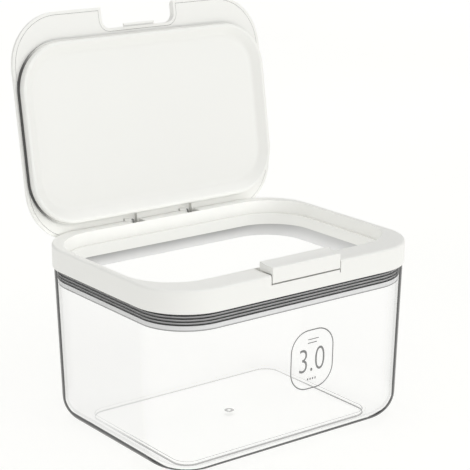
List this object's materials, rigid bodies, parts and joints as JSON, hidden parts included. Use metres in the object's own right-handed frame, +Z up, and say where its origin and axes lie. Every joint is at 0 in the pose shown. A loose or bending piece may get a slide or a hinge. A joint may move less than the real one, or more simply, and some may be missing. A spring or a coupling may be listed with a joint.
{
  "type": "washing powder dispenser",
  "caption": "Clear rounded storage box with a white plug-in collar, a ribbed grey seal, a hinged white lid standing open and a press latch at the front.",
  "frame": {"origin": "middle of the box's underside", "axes": "+X to the right, +Y to the back where the hinge is, +Z up; the latch faces -Y"},
  "size_m": [0.2, 0.1852, 0.2599],
  "materials": {
    "clear_plastic": "clear polished moulding",
    "white_plastic": "satin white moulding",
    "grey_rubber": "matt silicone",
    "steel": "drawn wire"
  },
  "bodies": {
    "container": {"clear_box": "clear_plastic", "collar": "white_plastic", "box_seal": "grey_rubber", "hinge_pin_left": "steel", "hinge_pin_right": "steel", "latch_pin": "steel", "latch_spring": "steel"},
    "lid": {"lid_cover": "white_plastic", "lid_liner": "white_plastic", "lid_seal": "grey_rubber", "hinge_spring_left": "steel", "hinge_spring_right": "steel"},
    "latch": {"latch_button": "white_plastic"}
  },
  "joints": [
    {"name": "lid_hinge", "type": "hinge", "parent": "container", "child": "lid", "pos_m": [0, 0.0725, 0.1145], "axis": [1, 0, 0], "range_deg": [0, 98.8], "stiffness_Nm_per_rad": 0.06, "springref_deg": -22.92},
    {"name": "latch_press", "type": "hinge", "parent": "container", "child": "latch", "pos_m": [0, -0.0735, 0.1172], "axis": [1, 0, 0], "range_deg": [0, 8], "stiffness_Nm_per_rad": 0.03, "springref_deg": -11.46}
  ]
}
